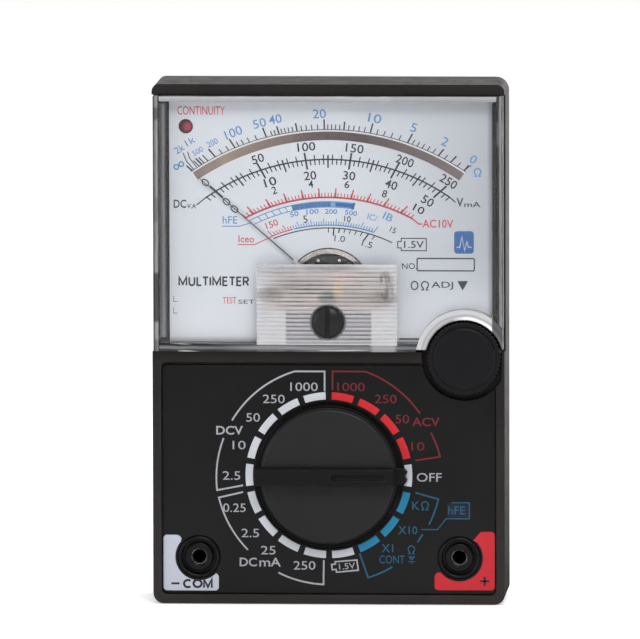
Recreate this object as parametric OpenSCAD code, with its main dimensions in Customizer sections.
// Hand-held analog multimeter: moving-coil meter, 18-way range switch,
// zero-ohm adjuster, two 4 mm sockets and two AA cells, in a two-part case.
// Every sub-part is drawn face up (x right, y up the case, z towards the
// user) and then stood upright: +Z up the case, the face looking along -Y.
// Heights written as z are measured from the back face of the case.

/* [Case] */
// Width of the case
case_w = 100; // [98:0.5:104]
// Height of the case
case_h = 148; // [147:0.5:152]
// Depth from the back to the top of the range knob's bar
total_d = 35; // [34.8:0.1:36]
// Corner radius of the case seen from the front
case_r = 3; // [2:0.5:5]
// Wall thickness of both case halves
wall = 2.2; // [1.8:0.1:2.4]
// Depth of the rear case half
part_z = 18; // [17.9:0.1:18]
// Height of the front rim above the back
rim_z = 28.5; // [28.4:0.1:28.8]

/* [Range switch] */
// Height of the switch centre above the bottom
switch_y = 36.7; // [36:0.1:37.5]
// Radius of the range knob's disc
knob_r = 20.3; // [18:0.1:20.6]
// Width of the knob's finger bar
bar_w = 5.2; // [4:0.1:7]
// Number of switch positions
positions = 18; // [12:1:24]

/* [Zero-ohm adjuster] */
// Sideways place of the adjuster knob
adj_x = 38.6; // [38:0.1:38.8]
// Height of the adjuster knob
adj_y = 70.3; // [70:0.1:70.6]
// Radius of the knurled skirt
adj_r = 10.5; // [9:0.1:10.6]

/* [Sockets] */
// Distance of each socket from the centre line
jack_x = 37; // [36:0.5:38]
// Height of the sockets above the bottom
jack_y = 13.25; // [13:0.25:14]
// Bore radius of the plug sleeve
jack_bore_r = 2.02; // [2.01:0.01:2.05]

/* [Meter movement] */
// Height of the pointer's pivot
pivot_y = 89.3; // [89:0.1:89.5]
// Half of the pointer's swing
swing = 49; // [40:1:50]
// Length of the pointer from the pivot to its tip
pointer_l = 49; // [44:0.5:51]

/* [Hidden] */
$fn = 64;

black = [0.14, 0.14, 0.14];
knob_black = [0.16, 0.16, 0.165];
steel = [0.72, 0.73, 0.75];
brass = [0.80, 0.66, 0.35];

// Levels above the back face
wall_inner_z = 24.2;     // underside of the lower front wall
panel_seat_z = 26.6;     // seat of the panel plate
panel_z = 27.7;          // face of the panel plate
deck_z = 22;             // deck under the meter cover
cover_z = 30.5;          // face of the meter cover
cover_inner_z = 29.0;    // its inner face
plate_z = 26.0;          // face of the scale plate
plate_t = 0.8;
board_z = 16.8;          // rear face of the circuit board
board_t = 1.6;
board_front_z = board_z + board_t;

// Places shared by several pieces
cover_y0 = 72.8;
cover_y1 = 144.8;
zero_y = 80.6;           // zero adjusting screw
screw_y = 66.5;          // case screw
scale_screw_x = 15.5;    // scale plate screws, each side
scale_screw_y = 79;
led_x = -40.5;
led_y = 135.8;
board_posts = [[-42, 30], [42, 32], [-27, 61.5], [21, 61.5]];

// Radii shared by several pieces
boss_r = 4.4;            // both bosses of the case screw
well_r = 12.2;           // well round the adjuster knob
jack_hole_r = 5.25;
range_shaft_r = 4.0;
pot_shaft_r = 3.0;

// ---------------------------------------------------------------- helpers
// Stands the face-up drawing upright and centres its depth.
module place() translate([0, total_d / 2, 0]) rotate([90, 0, 0]) children();

module at_switch() translate([0, switch_y, 0]) children();
module at_adjuster() translate([adj_x, adj_y, 0]) children();
module at_pivot() translate([0, pivot_y, 0]) children();
module at_jacks() for (side = [-1, 1]) translate([side * jack_x, jack_y, 0]) children();
module at_posts() for (post = board_posts) translate(post) children();

module rounded_rect(half_w, y0, y1, radius) union() {
  translate([-half_w + radius, y0]) square([2 * (half_w - radius), y1 - y0]);
  translate([-half_w, y0 + radius]) square([2 * half_w, y1 - y0 - 2 * radius]);
  for (x = [-half_w + radius, half_w - radius]) for (y = [y0 + radius, y1 - radius])
    translate([x, y]) circle(radius, $fn = 40);
}
// A rounded plate, centred on x = 0.
module slab(half_w, y0, y1, radius, z0, z1)
  translate([0, 0, z0]) linear_extrude(z1 - z0) rounded_rect(half_w, y0, y1, radius);
// The case's rectangle drawn in by an inset on all four sides.
module case_slab(inset, radius, z0, z1)
  slab(case_w / 2 - inset, inset, case_h - inset, radius, z0, z1);
module box(x0, y0, z0, x1, y1, z1)
  translate([x0, y0, z0]) cube([x1 - x0, y1 - y0, z1 - z0]);
// A box centred on x = 0.
module beam(half_w, y0, y1, z0, z1) box(-half_w, y0, z0, half_w, y1, z1);
// A box centred on x, y.
module block(x, y, half_x, half_y, z0, z1)
  box(x - half_x, y - half_y, z0, x + half_x, y + half_y, z1);
module rod(x, y, z0, z1, radius, facets = 48)
  translate([x, y, z0]) cylinder(h = z1 - z0, r = radius, $fn = facets);
// A cylinder along x, centred on x, y, z.
module x_rod(x, y, z, length, radius, facets = 40)
  translate([x, y, z]) rotate([0, 90, 0])
    cylinder(h = length, r = radius, center = true, $fn = facets);
// A ring sector between two radii, centred on an angle, of half width half_angle.
module sector(inner_r, outer_r, angle, half_angle, z0, z1)
  translate([0, 0, z0]) rotate([0, 0, angle - half_angle])
    rotate_extrude(angle = 2 * half_angle, $fn = 96)
      translate([inner_r, 0]) square([outer_r - inner_r, z1 - z0]);

// A closed strip (4 sides) or wire on a spiral or helix round z.
module spiral(start_r, end_r, z0, z1, turns, half_w, half_h, sides, steps) {
  last = ceil(turns * steps);
  stretch = sides == 4 ? sqrt(2) : 1;  // puts the corners of a strip at its half sizes
  points = [for (i = [0:last])
      let (angle = 360 * turns * i / last,
        radius = start_r + (end_r - start_r) * i / last,
        z = z0 + (z1 - z0) * i / last)
      for (j = [0:sides - 1])
        let (turn = 360 * j / sides + 45, reach = radius + stretch * half_w * cos(turn))
        [reach * cos(angle), reach * sin(angle), z + stretch * half_h * sin(turn)]];
  polyhedron(points = points, faces = concat(
      [[for (j = [0:sides - 1]) j], [for (j = [sides - 1:-1:0]) last * sides + j]],
      [for (i = [0:last - 1]) for (j = [0:sides - 1]) let (next = (j + 1) % sides)
        [(i + 1) * sides + j, (i + 1) * sides + next, i * sides + next, i * sides + j]]));
}

function unit(v) = v / norm(v);
// A Catmull-Rom point between p1 and p2.
function spline_point(p0, p1, p2, p3, t) = 0.5 * (2 * p1 + (p2 - p0) * t
    + (2 * p0 - 5 * p1 + 4 * p2 - p3) * t * t
    + (3 * p1 - p0 - 3 * p2 + p3) * t * t * t);
function smooth(points, steps) = let (count = len(points)) concat(
    [for (i = [0:count - 2]) for (j = [0:steps - 1])
      spline_point(points[max(i - 1, 0)], points[i], points[i + 1],
        points[min(i + 2, count - 1)], j / steps)],
    [points[count - 1]]);
// A round wire along a smoothed run of points.
module wire(points, radius, sides = 8, steps = 6) {
  path = smooth(points, steps);
  last = len(path) - 1;
  skin = [for (i = [0:last])
      let (along = unit(path[min(i + 1, last)] - path[max(i - 1, 0)]),
        across = unit(cross(along, [0.21, 0.34, 0.92])),
        square_to = cross(along, across))
      for (j = [0:sides - 1]) let (turn = 360 * j / sides)
        path[i] + radius * (across * cos(turn) + square_to * sin(turn))];
  polyhedron(points = skin, faces = concat(
      [[for (j = [0:sides - 1]) j], [for (j = [sides - 1:-1:0]) last * sides + j]],
      [for (i = [0:last - 1]) for (j = [0:sides - 1]) let (next = (j + 1) % sides)
        [i * sides + j, (i + 1) * sides + j, (i + 1) * sides + next, i * sides + next]]));
}

// ---------------------------------------------------------------- case
module front_shell() difference() {
  case_slab(0, case_r, part_z, rim_z);
  // hollow behind the lower front wall and behind the meter deck
  slab(case_w / 2 - wall, wall, 72, 1.5, part_z - 1, wall_inner_z);
  slab(case_w / 2 - wall, 60, case_h - wall, 1.5, part_z - 1, deck_z - 2);
  // seat of the panel plate
  slab(case_w / 2 - 2.4, 2.6, 69, 1.6, panel_seat_z, rim_z + 1);
  // seat of the meter cover, open at both sides
  beam(60, 71.9, 145, deck_z, rim_z + 1);
  // well round the zero-ohm adjuster, kept inside the right-hand wall
  intersection() {
    at_adjuster() rod(0, 0, wall_inner_z + 0.2, 40, well_r, 96);
    box(0, 40, 20, 49.2, 100, 45);
  }
}
module detent_ring() at_switch() difference() {
  rod(0, 0, 20.8, wall_inner_z + 1, 22, 120);
  rod(0, 0, 20, wall_inner_z, 19.45, 120);
  for (i = [0:positions - 1]) rotate([0, 0, i * 360 / positions])
    rod(18.35, 0, 20, wall_inner_z, 1.5, 32);
}
module front_case() color(black) place() difference() {
  union() {
    front_shell();
    // floor of the adjuster's well
    intersection() {
      at_adjuster() rod(0, 0, deck_z, 24.4, well_r + 0.5, 96);
      box(0, 40, 20, 49.6, 72.4, 45);
    }
    at_adjuster() rod(0, 0, deck_z - 0.5, 24.4, 10.7, 96);
    // scale plate pillars
    for (pillar = [[-42, 78], [-42, 112], [42, 141], [42, 100]])
      translate(pillar) rod(0, 0, deck_z - 1, plate_z - plate_t, 2);
    // board posts under the front wall
    at_posts() rod(0, 0, board_front_z, wall_inner_z + 1, 3);
    // boss of the case screw
    rod(0, screw_y, 14, wall_inner_z + 1, boss_r);
    detent_ring();
  }
  // movement opening in the deck
  beam(20.5, 74.6, 109, 15, deck_z + 1);
  // shaft holes
  at_switch() rod(0, 0, 10, 40, range_shaft_r + 0.06);
  at_adjuster() rod(0, 0, 10, 40, pot_shaft_r + 0.06);
  // room for the potentiometer under the well
  intersection() {
    at_adjuster() rod(0, 0, part_z - 1, deck_z, 9.3);
    box(0, 40, 10, 47.6, 100, 30);
  }
  at_jacks() rod(0, 0, 10, 40, jack_hole_r);
  at_posts() rod(0, 0, 10, 23.2, 1.05, 24);
  rod(0, screw_y, 10, 21.5, 2.65);
  // lamp hole, and a slot at the deck's lower left for the lamp's leads
  rod(led_x, led_y, 15, 30, 1.95, 32);
  block(-45, 78, 1, 2, 15, deck_z + 1);
}

// Locating lip inside the joint, with a step on its outside
module joint_lip() difference() {
  union() {
    case_slab(2.3, 1.4, 14, part_z + 1.2);
    case_slab(1.6, 1.4, 14, part_z - 0.4);
  }
  case_slab(3.4, 1.0, 13, part_z + 2);
  // gaps beside the adjuster and the two sockets
  block(45, 70, 15, 15, 13, part_z + 2);
  for (side = [-1, 1]) block(side * 48, 9.5, 12, 14.5, 16, part_z + 2);
}
module rear_shell() difference() {
  union() {
    case_slab(0, case_r, 1.2, part_z - 0.04);
    // stepped-in back face
    slab(case_w / 2 - 1.2, 0, case_h - 1.2, case_r - 1, 0, 3);
  }
  case_slab(wall, 1.5, wall, part_z + 1);
  // shallow rest for a plain rating plate
  slab(30, 92, 126, 2, -1, 0.5);
}
module rear_case() color(black) place() difference() {
  union() {
    rear_shell();
    rod(0, screw_y, 1, 13.9, boss_r);
    // crossing ribs on the floor
    for (y = [30, 50]) block(0, y, case_w / 2 - 1, 0.75, 1, 5);
    for (x = [-20, 20]) block(x, 33.5, 0.75, 32.5, 1, 5);
    joint_lip();
  }
  // through hole and counterbore of the case screw
  rod(0, screw_y, -1, 20, 1.7);
  rod(0, screw_y, -1, 3.2, 3.1);
}
module rear_case_screw() color(steel) place() difference() {
  union() {
    rod(0, screw_y, 0.7, 3.1, 2.9);
    rod(0, screw_y, 3.1, 20, 1.5);
  }
  // cross slot
  block(0, screw_y, 0.35, 2, 0, 1.9);
  block(0, screw_y, 2, 0.35, 0, 1.9);
}
module screw_insert() color(brass) place() difference() {
  rod(0, screw_y, 14.2, 21.2, 2.6);
  rod(0, screw_y, 14, 22, 1.56);
}
module panel_plate() color([0.12, 0.12, 0.12]) place() difference() {
  slab(case_w / 2 - 2.8, 3, 68, 1.5, panel_seat_z, panel_z);
  at_adjuster() rod(0, 0, 20, 40, well_r, 96);
  at_switch() rod(0, 0, 20, 40, 21, 120);
  at_jacks() rod(0, 0, 20, 40, 6.15);
}

// ---------------------------------------------------------------- meter window
rib_pitch = 1.18;
rib_w = 0.7;
cover_t = 1.6;           // upper and lower walls of the cover

module meter_cover() color([0.85, 0.88, 0.92, 0.35]) place() difference() {
  union() {
    slab(case_w / 2 - 0.4, cover_y0, cover_y1, 1.5, deck_z + 0.02, cover_z - 1);
    slab(case_w / 2 - 1.4, cover_y0 + 0.6, cover_y1, 1.2, cover_z - 2, cover_z);
    // ribbed block over the movement
    for (i = [0:19]) let (y = 73.6 + i * rib_pitch)
      box(-20.2, y, cover_z - 0.5, 19.6, y + rib_w, cover_z + 0.25);
  }
  // hollow, leaving a wall round the adjuster
  difference() {
    slab(case_w / 2 - 2.1, cover_y0 + cover_t, cover_y1 - cover_t, 1, deck_z - 1,
      cover_inner_z);
    at_adjuster() rod(0, 0, 10, 40, 13.6, 96);
  }
  at_adjuster() rod(0, 0, 10, 40, 11, 96);
  // hole of the zero screw and the clearing in the ribs round it
  rod(0, zero_y, 10, 40, 2.56);
  rod(0, zero_y, cover_z, 40, 5);
}
module plate_outline() {
  arch_r = 12.05;
  difference() {
    translate([-45.2, 74.5]) square([91.6, 68.6]);
    // arch over the movement
    translate([0, pivot_y]) circle(arch_r, $fn = 96);
    translate([-arch_r, 70]) square([2 * arch_r, pivot_y - 70]);
    translate([adj_x, adj_y]) circle(13.9, $fn = 96);
    translate([led_x, led_y]) circle(2.07, $fn = 40);
  }
}
module scale_plate() color([0.82, 0.84, 0.87]) place() difference() {
  translate([0, 0, plate_z - plate_t]) linear_extrude(plate_t) plate_outline();
  for (side = [-1, 1]) rod(side * scale_screw_x, scale_screw_y, 20, 30, 0.9, 24);
}
// The arc of the mirror is struck from a point below the pivot.
module mirror_strip() color([0.55, 0.48, 0.46]) place() translate([0, 65.8, 0])
  sector(66.2, 68.6, 90, 34.1, plate_z + 0.01, plate_z + 0.16);
module scale_plate_screws() color(steel) place() for (side = [-1, 1])
  translate([side * scale_screw_x, scale_screw_y, 0]) difference() {
    union() {
      rod(0, 0, plate_z, plate_z + 0.9, 1.6, 32);
      rod(0, 0, 22.4, plate_z, 0.75, 24);
    }
    block(0, 0, 2, 0.2, plate_z + 0.5, plate_z + 2);
  }

led_r = 1.88;
dome_z = 4.3;            // where the lamp's dome starts above its base
module led_lens() color([0.75, 0.1, 0.12]) place() translate([led_x, led_y, 20.6])
  rotate_extrude($fn = 48) polygon([[0, 0], [led_r, 0], [led_r, dome_z],
      for (a = [15:15:75]) [led_r * cos(a), dome_z + led_r * sin(a)],
      [0, dome_z + led_r]]);
// Two leads run from the lamp down the left side to the board.
module led_leads() color(steel) place() for (side = [-1, 1]) {
  run_x = -44.4 + side * 0.8;
  wire([[led_x + side * 0.65, led_y, 20.55], [led_x + side * 0.8, led_y, 18.5],
      [run_x, led_y - 8, 15.2], [run_x, 100, 15.2], [run_x, 72, 15.2],
      [run_x + 0.8, 64, board_z - 0.7]], 0.4, sides = 6, steps = 5);
}

// ---------------------------------------------------------------- sockets
// Profiles: radius, z
module jack_bodies() color([0.10, 0.10, 0.10]) place() at_jacks()
  rotate_extrude($fn = 72) polygon([
      [2.75, 10.5], [5.2, 10.5], [5.2, panel_seat_z + 0.02], [6.05, panel_seat_z + 0.02],
      [6.05, 28.0], [5.8, 28.3], [5.1, 28.3], [4.9, 28.0], [4.9, 25.6], [4.0, 25.6],
      [4.0, 27.3], [3.8, 27.5], [2.75, 27.5]]);
module jack_sleeves() color([0.80, 0.80, 0.80]) place() at_jacks()
  rotate_extrude($fn = 64) polygon([
      [jack_bore_r, 9.2], [3.4, 9.2], [3.4, 10.4], [2.7, 10.4], [2.7, 26.6],
      [jack_bore_r, 26.6]]);
module jack_nuts() color(steel) place() at_jacks() difference() {
  rod(0, 0, wall_inner_z - 2.7, wall_inner_z - 0.1, 7.4, 6);
  rod(0, 0, 15, 30, jack_hole_r);
}

// ---------------------------------------------------------------- circuit board
module circuit_board() color([0.55, 0.40, 0.18]) place() difference() {
  union() {
    slab(46, 5, 65, 2, board_z, board_front_z);
    // ear under the potentiometer
    intersection() {
      at_adjuster() rod(0, 0, board_z, board_front_z, 8.4);
      box(20, 55, 0, 46, 100, 30);
    }
  }
  at_jacks() rod(0, 0, 10, 30, 5.6);
  at_switch() rod(0, 0, 10, 30, 4.5);
  rod(0, screw_y, 10, 30, 7);
  at_posts() rod(0, 0, 10, 30, 1.3, 24);
}
module board_screws() color(steel) place() at_posts() difference() {
  union() {
    rod(0, 0, board_z - 1.7, board_z - 0.02, 2.4, 32);
    rod(0, 0, board_z - 0.5, 22.5, 1.0, 24);
  }
  block(0, 0, 1.5, 0.25, board_z - 2, board_z - 1.1);
}
// A part lying along x behind the board, its square leads bent up to the board.
module axial_part(x, y, length, radius, depth) translate([x, y, board_z - depth]) {
  half = length / 2;
  lead = 0.3;            // half the lead's width
  waist_r = radius * 0.86;
  // radius, place along the axis
  rotate([0, 90, 0]) rotate_extrude($fn = 32) polygon([
      [0, -half], [radius * 0.9, -half], [radius, -half + 0.4], [radius, -half + 1.4],
      [waist_r, -half + 1.8], [waist_r, half - 1.8], [radius, half - 1.4],
      [radius, half - 0.4], [radius * 0.9, half], [0, half]]);
  for (side = [-1, 1]) {
    block(side * (half + 0.9), 0, 1.1, lead, -lead, lead);
    block(side * (half + 2 - lead), 0, lead, lead, -lead, depth - 0.05);
  }
}
resistor_places = [
  [-28, 48], [-14, 52], [28, 50], [28, 45], [-33, 24], [-10, 22],
  [-10, 17], [10, 22], [10, 17], [10, 12], [-10, 12.8], [30, 40]];
module resistors() color([0.80, 0.72, 0.55]) place() for (spot = resistor_places)
  axial_part(spot[0], spot[1], length = 6.4, radius = 1.2, depth = 1.8);
module diodes() color([0.12, 0.12, 0.13]) place() for (y = [54, 58.5])
  axial_part(32, y, length = 5.0, radius = 1.3, depth = 1.9);
// Lies along y, its two leads at the upper end.
module capacitor() color([0.10, 0.14, 0.28]) place() translate([-34, 38, board_z - 3.1]) {
  // radius, place along the axis
  rotate([90, 0, 0]) rotate_extrude($fn = 40) polygon([
      [0, -5.5], [2.3, -5.5], [2.5, -5.2], [2.5, 4.0], [2.25, 4.3],
      [2.5, 4.6], [2.5, 5.2], [2.3, 5.5], [0, 5.5]]);
  for (x = [-1.2, 1.2]) {
    block(x, 6.2, 0.25, 0.8, -0.25, 0.25);
    block(x, 6.75, 0.25, 0.25, -0.25, 3.05);
  }
}
module trimmer() color([0.20, 0.35, 0.70]) place() translate([30.5, 21.5, board_z])
  difference() {
    union() {
      block(0, 0, 3.5, 3.5, -4.2, -0.02);
      rod(0, 0, -4.9, -4, 2.4, 32);
    }
    block(0, 0, 1.9, 0.3, -5, -4.4);
  }

fuse_x = -14;
fuse_y = 7.8;
fuse_z = 11.6;
fuse_cap_x = 7.65;       // cap and clip centres from the fuse's middle
module fuse_tube() color([0.85, 0.90, 0.92, 0.5]) place() difference() {
  x_rod(fuse_x, fuse_y, fuse_z, 10.6, 2.3);
  x_rod(fuse_x, fuse_y, fuse_z, 12, 1.8);
}
module fuse_caps() color(steel) place() for (side = [-1, 1])
  x_rod(fuse_x + side * fuse_cap_x, fuse_y, fuse_z, 4.6, 2.5);
module fuse_clips() color(brass) place() for (side = [-1, 1])
  translate([fuse_x + side * fuse_cap_x, fuse_y, 0]) {
    for (y = [-2.85, 2.85]) block(0, y, 1.8, 0.25, 10.2, board_z - 0.6);
    block(0, 0, 1.8, 3.1, board_z - 0.6, board_z - 0.02);
  }
module potentiometer_body() color([0.35, 0.28, 0.20]) place() at_adjuster() difference() {
  rod(0, 0, board_front_z + 0.02, 21.9, 8.2);
  rod(0, 0, 10, 30, pot_shaft_r + 0.08);
}

// ---------------------------------------------------------------- cells
cell_z = 9.75;
cell_r = 7.15;
cell_l = 50;
// Each cell: y, side its positive end is on (1 right, -1 left)
cell_rows = [[118.2, 1], [133.6, -1]];

// Profile of a cell: radius, place along the axis
cell_profile = [
  [0, -cell_l / 2], [5.2, -cell_l / 2], [5.2, -24.6], [6.8, -24.6], [cell_r, -24.2],
  [cell_r, 23.0], [6.8, 23.4], [2.75, 23.4], [2.75, 24.8], [2.5, cell_l / 2],
  [0, cell_l / 2]];
module cells() color([0.15, 0.22, 0.40]) place() for (row = cell_rows)
  translate([0, row[0], cell_z]) rotate([0, 90, 0]) rotate([row[1] > 0 ? 0 : 180, 0, 0])
    rotate_extrude($fn = 56) polygon(cell_profile);
module battery_tray() color(black) place() difference() {
  union() {
    slab(33, 110, 142, 1.5, 17.2, 19.9);
    for (side = [-1, 1]) block(side * 31.8, 126, 1.2, 16, 5, 18);
    // divider midway between the cells
    block(0, (cell_rows[0][0] + cell_rows[1][0]) / 2, 26, 0.3, 13.4, 18);
  }
  // seats of the two cells
  for (row = cell_rows) x_rod(0, row[0], cell_z, 54, cell_r + 0.35, 56);
}
// A contact plate and its tab at each positive end
module battery_plates() color(brass) place() for (row = cell_rows) {
  block(row[1] * (cell_l / 2 + 0.35), row[0], 0.2, 5, 5.5, 15.5);
  block(row[1] * 28, row[0], 2.5, 2, 8, 8.4);
}
// A tapered spring at each negative end
module battery_springs() color(steel) place() for (row = cell_rows)
  translate([-row[1] * 30.2, row[0], cell_z]) rotate([0, row[1] * 90, 0])
    spiral(4.4, 2.6, 0, 4.7, turns = 3.5, half_w = 0.4, half_h = 0.4, sides = 8, steps = 16);

// Wire runs: x, y, z
module battery_lead_red() color([0.75, 0.12, 0.12]) place()
  wire([[35.2, 118, 8], [37, 112, 6.5], [38.5, 100, 6], [38, 84, 6.5], [34, 72, 9],
      [30, 62, board_z - 0.95]], 0.65);
module battery_lead_black() color([0.08, 0.08, 0.08]) place()
  wire([[-35.2, 134, 8], [-37, 122, 6.5], [-38.5, 104, 6], [-38, 86, 6.5], [-34, 74, 9],
      [-31, 56, board_z - 0.95]], 0.65);
module meter_leads() color([0.75, 0.55, 0.12]) place() for (side = [-1, 1])
  wire([[side * 19.3, 88, 6], [side * 22.5, 82, 5.8], [side * 21, 72, 8],
      [side * 18, 64, board_z - 0.75]], 0.45);

// ---------------------------------------------------------------- movement
// Drawn round the pivot: x and y are measured from it.
jewel_r = 1.5;
jewel_hole_r = 1.56;
pivot_hole_r = 0.56;     // socket in each jewel screw
yoke_inner_r = 15.5;
rivet_x = 3;
rivet_y = 8.3;
frame_top_z = 23.4;
lever_z = 26.6;          // rear and front faces of the zero lever
lever_top_z = 27.1;

module at_frame_screws() for (x = [-22.5, 22.5]) for (y = [-8, 14])
  translate([x, y, 0]) children();
module movement_frame() {
  pad_y = scale_screw_y - pivot_y;
  color([0.09, 0.09, 0.09]) place() at_pivot() difference() {
    union() {
      beam(20.3, -14.2, 19.2, 20.2, deck_z + 0.02);
      slab(24.5, -14.2, 19.2, 1.5, deck_z + 0.02, frame_top_z);
      // pads under the scale plate
      for (side = [-1, 1])
        rod(side * scale_screw_x, pad_y, 23, plate_z - plate_t - 0.02, 2.2, 32);
      // foot of the front bridge
      beam(4, -14, -9.6, 23, 25.55);
    }
    rod(0, 0, 10, 30, 9.6, 72);
    for (side = [-1, 1]) rod(side * scale_screw_x, pad_y, 10, 30, 0.82, 24);
    at_frame_screws() rod(0, 0, 10, 30, 1.15, 24);
  }
}
// Bright rim seen in the arch of the scale plate, with the guard bar across it
module movement_bezel() color([0.8, 0.8, 0.8]) place() at_pivot()
  sector(10.45, 11.7, 90, 74, frame_top_z + 0.02, 25.9);
module pointer_guard() color([0.08, 0.08, 0.08]) place() at_pivot() difference() {
  intersection() {
    beam(8, 7.8, 9.4, 24.3, 25.3);
    rod(0, 0, 24, 26, 10.42, 96);
  }
  for (side = [-1, 1]) rod(side * rivet_x, rivet_y, 24, 26, 0.46, 24);
}
module guard_rivets() color(steel) place() at_pivot() for (side = [-1, 1])
  rod(side * rivet_x, rivet_y, 24, 25.6, 0.44, 24);
module movement_screws() color(steel) place() at_pivot() at_frame_screws()
  rod(0, 0, frame_top_z + 0.02, 24.6, 1.9, 32);

module movement_yoke() color([0.50, 0.51, 0.53]) place() at_pivot() difference() {
  rod(0, 0, 8.2, 19.9, 17.6, 96);
  rod(0, 0, 7, 22, yoke_inner_r, 96);
}
module magnets() color([0.25, 0.25, 0.26]) place() at_pivot() for (a = [0, 180])
  sector(11.25, yoke_inner_r - 0.1, a, 44, 8.6, 19.8);
module pole_pieces() color([0.62, 0.63, 0.65]) place() at_pivot() for (a = [0, 180])
  sector(8.35, 11.2, a, 58, 9.2, 20.1);
core_r = 6.2;
module soft_core() color([0.66, 0.67, 0.69]) place() at_pivot()
  rod(0, 0, 11.6, 19.4, core_r, 64);
module core_bracket() color(brass) place() at_pivot() for (a = [90, 270])
  sector(core_r + 0.05, yoke_inner_r - 0.1, a, 16, 13.5, 16.5);

module rear_bridge() color(brass) place() at_pivot() difference() {
  union() {
    beam(17.3, -3, 3, 5, 6.4);
    // feet on the yoke
    for (side = [-1, 1]) block(side * 16.5, 0, 0.8, 3, 6, 8.18);
  }
  rod(0, 0, 0, 10, jewel_hole_r, 40);
}
module front_bridge() color(brass) place() at_pivot() difference() {
  union() {
    beam(3, -14, 1, 25.6, 26.5);
    rod(0, 0, 25.6, 26.5, 3, 40);
  }
  rod(0, 0, 20, 30, jewel_hole_r, 40);
}
module rear_jewel() difference() {
  union() {
    rod(0, 0, 3.8, 5, 2.3, 40);
    rod(0, 0, 5, 7.2, jewel_r, 40);
  }
  rod(0, 0, 6.2, 8, pivot_hole_r, 24);
  block(0, 0, 3, 0.25, 3, 4.3);
}
module front_jewel() difference() {
  rod(0, 0, 25.0, 28.2, jewel_r, 40);
  rod(0, 0, 24, 25.9, pivot_hole_r, 24);
  block(0, 0, 3, 0.2, 27.8, 29);
}
module jewel_screws() color(brass) place() at_pivot() {
  rear_jewel();
  front_jewel();
}
// Turns with the zero screw; its fork takes the eccentric pin.
module zero_lever() color([0.85, 0.86, 0.88]) place() at_pivot() difference() {
  union() {
    rod(0, 0, lever_z, lever_top_z, 3.0, 40);
    beam(1.6, -12.4, 0, lever_z, lever_top_z);
    // arm to the right, and a tab back to the level of the front hairspring
    box(0, -1, lever_z, 5.6, 0.6, lever_top_z);
    box(5.0, -1, 21.9, 5.6, 0.6, lever_top_z);
  }
  rod(0, 0, 20, 30, jewel_hole_r, 40);
  beam(0.66, -13, -7.0, 20, 30);
}
module zero_adjust_screw() color(knob_black) place() translate([0, zero_y, 0]) {
  head_r = 3.9;
  head_z = 31.9;
  difference() {
    union() {
      rod(0, 0, cover_z + 0.02, head_z, head_r, 64);
      translate([0, 0, head_z]) cylinder(h = 0.5, r1 = head_r, r2 = 3.4, $fn = 64);
      rod(0, 0, 28.9, cover_z + 0.5, 2.5);
      rod(0, 0, 27.5, 28.95, 3.2);
      // eccentric pin
      rod(0, -1.2, 26.65, 27.8, 0.5, 24);
    }
    block(0, 0, 0.45, 5, 31.5, 35);
  }
}

// The moving system is drawn with the pointer straight up, then swung to zero.
arm_z = 23.2;            // low arm of the pointer
arm_top_z = 23.6;
blade_z = 26.6;          // pointer blade above the plate
blade_top_z = 26.9;
blade_half_w = 0.35;
riser_y = 6.8;

module swung() place() at_pivot() rotate([0, 0, swing]) children();
module coil_former() color([0.80, 0.81, 0.83]) swung() difference() {
  block(0, 0, 7.0, 1.1, 10.2, 20.8);
  block(0, 0, 6.6, 2, 10.7, 20.3);
}
module coil_winding() color([0.65, 0.30, 0.15]) swung() difference() {
  block(0, 0, 7.8, 0.9, 9.5, 21.5);
  block(0, 0, 7.05, 2, 10.15, 20.85);
}
module coil_pivots() color(steel) swung() {
  rod(0, 0, 6.5, 9.45, 0.5, 24);
  rod(0, 0, 21.55, 25.7, 0.5, 24);
}
module pointer() color([0.07, 0.07, 0.07]) swung() difference() {
  union() {
    rod(0, 0, arm_z, 24.0, 1.9, 40);
    // low arm, riser, straight blade and tapered tip
    beam(0.5, 0, riser_y + 0.4, arm_z, arm_top_z);
    beam(0.5, riser_y, riser_y + 0.4, arm_z, blade_top_z);
    beam(blade_half_w, riser_y, pointer_l - 17, blade_z, blade_top_z);
    translate([0, 0, blade_z]) linear_extrude(0.3) polygon([
        [-blade_half_w, pointer_l - 17.2], [blade_half_w, pointer_l - 17.2],
        [0.12, pointer_l], [-0.12, pointer_l]]);
    // tail
    beam(0.4, -8, 0, arm_z, arm_top_z);
  }
  rod(0, 0, 20, 30, 0.55, 24);
}
module balance_weight() color(brass) swung() difference() {
  beam(1.1, -7.6, -5.2, 22.6, 24.2);
  beam(0.45, -9, -4, arm_z - 0.05, arm_top_z + 0.05);
}
module hairsprings() color([0.75, 0.60, 0.30]) swung() for (z = [8.3, 22.45])
  translate([0, 0, z])
    spiral(0.75, 4.3, 0, 0, turns = 5, half_w = 0.06, half_h = 0.22, sides = 4, steps = 24);

// ---------------------------------------------------------------- range switch
detent_z = 22.4;
rotor_top_z = 23.9;

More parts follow.
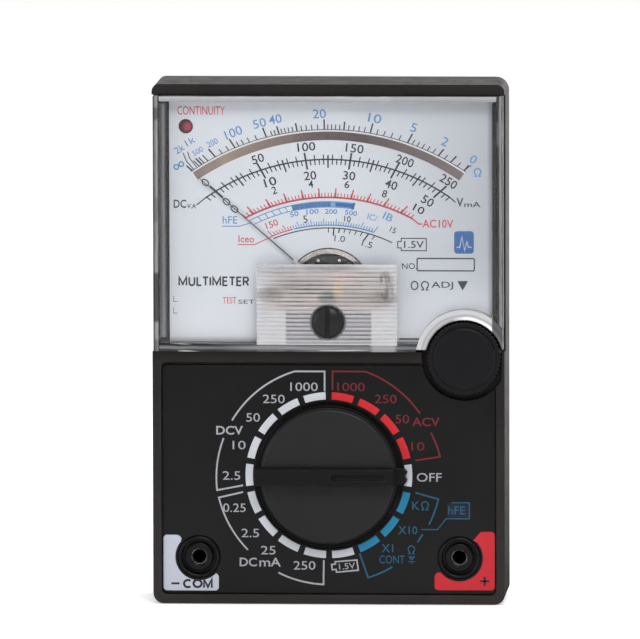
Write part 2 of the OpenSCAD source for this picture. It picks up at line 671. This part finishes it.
module range_knob() color(knob_black) place() at_switch() difference() {
  union() {
    rod(0, 0, panel_seat_z + 0.25, 30.2, knob_r, 120);
    translate([0, 0, 30.1])
      cylinder(h = 1.4, r1 = knob_r - 1.2, r2 = knob_r - 1.5, $fn = 120);
    // finger bar across the disc
    intersection() {
      block(0, 0, knob_r, bar_w / 2, 28, total_d);
      rod(0, 0, 27, total_d + 1, knob_r - 0.15, 120);
    }
    // pointing nib
    translate([0, 0, 27.95]) linear_extrude(2.5)
      polygon([[knob_r - 1, -2.2], [22.3, -1.1], [22.3, 1.1], [knob_r - 1, 2.2]]);
    // shaft and its square end
    rod(0, 0, rotor_top_z + 0.05, panel_seat_z + 1, range_shaft_r, 64);
    block(0, 0, 2.5, 2.5, 20.8, 24.2);
  }
  // groove along the right-hand half of the bar
  block(8.7, 0, 7.5, 0.75, total_d - 1, total_d + 1);
  rod(0, 0, 20, 26, 1.3, 24);
}
module switch_rotor() color([0.85, 0.84, 0.80]) place() at_switch() difference() {
  union() {
    rod(0, 0, 21.3, rotor_top_z, 10, 72);
    rod(0, 0, 20.9, rotor_top_z, 17.3, 96);
  }
  block(0, 0, 2.55, 2.55, 20, 25);
  // radial bore of the detent
  x_rod(14, 0, detent_z, 12, 1.2, 32);
}
module detent_ball() color(steel) place() at_switch()
  translate([17.9, 0, detent_z]) sphere(r = 1.1, $fn = 32);
module detent_spring() color(steel) place() at_switch()
  translate([8.4, 0, detent_z]) rotate([0, 90, 0])
    spiral(0.85, 0.85, 0.2, 8.1, turns = 7, half_w = 0.16, half_h = 0.16, sides = 6,
      steps = 14);
// Three spring strips, each with two hooked fingers towards the board
module rotor_contacts() color([0.85, 0.70, 0.40]) place() at_switch()
  for (a = [60, 180, 300]) rotate([0, 0, a]) {
    half_w = 1.2;
    block(11, 0, 5, half_w, 20.45, 20.85);
    for (x = [7, 15]) {
      block(x - 0.8, 0, 0.2, half_w, 18.5, 20.6);
      block(x - 0.1, 0, 0.9, half_w, 18.5, 18.8);
    }
  }
module rotor_screw() color(steel) place() at_switch() difference() {
  union() {
    rod(0, 0, 19.4, 20.75, 4, 40);
    rod(0, 0, 20.7, 25.5, 1.2, 24);
  }
  block(0, 0, 2.6, 0.3, 19, 19.9);
}

// ---------------------------------------------------------------- zero-ohm adjuster
knurls = 48;
cap_r = 8.8;
module ohm_adjust_knob() color(knob_black) place() at_adjuster() difference() {
  union() {
    difference() {
      rod(0, 0, 24.9, 29.8, adj_r, 96);
      for (i = [0:knurls - 1]) rotate([0, 0, i * 360 / knurls])
        rod(adj_r + 0.12, 0, 24, 31, 0.42, 4);
    }
    rod(0, 0, 29, 30.8, cap_r, 96);
    translate([0, 0, 30.8]) cylinder(h = 0.4, r1 = cap_r, r2 = cap_r - 0.5, $fn = 96);
  }
  rod(0, 0, 24, 29, pot_shaft_r + 0.02);
}
module potentiometer_shaft() color([0.75, 0.75, 0.72]) place() at_adjuster()
  rod(0, 0, board_front_z + 0.3, 28.8, pot_shaft_r);

front_case();
panel_plate();
meter_cover();
scale_plate();
mirror_strip();
scale_plate_screws();
screw_insert();
jack_bodies();
jack_sleeves();
jack_nuts();
led_lens();
led_leads();
circuit_board();
board_screws();
resistors();
diodes();
capacitor();
trimmer();
fuse_tube();
fuse_caps();
fuse_clips();
potentiometer_body();
cells();
battery_tray();
battery_plates();
battery_springs();
battery_lead_red();
battery_lead_black();
meter_leads();
magnets();
pole_pieces();
soft_core();
core_bracket();
movement_yoke();
movement_bezel();
pointer_guard();
guard_rivets();
rear_bridge();
front_bridge();
jewel_screws();
movement_frame();
movement_screws();
range_knob();
switch_rotor();
rotor_contacts();
detent_ball();
detent_spring();
rotor_screw();
ohm_adjust_knob();
potentiometer_shaft();
zero_adjust_screw();
zero_lever();
coil_former();
coil_winding();
coil_pivots();
pointer();
balance_weight();
hairsprings();
rear_case();
rear_case_screw();
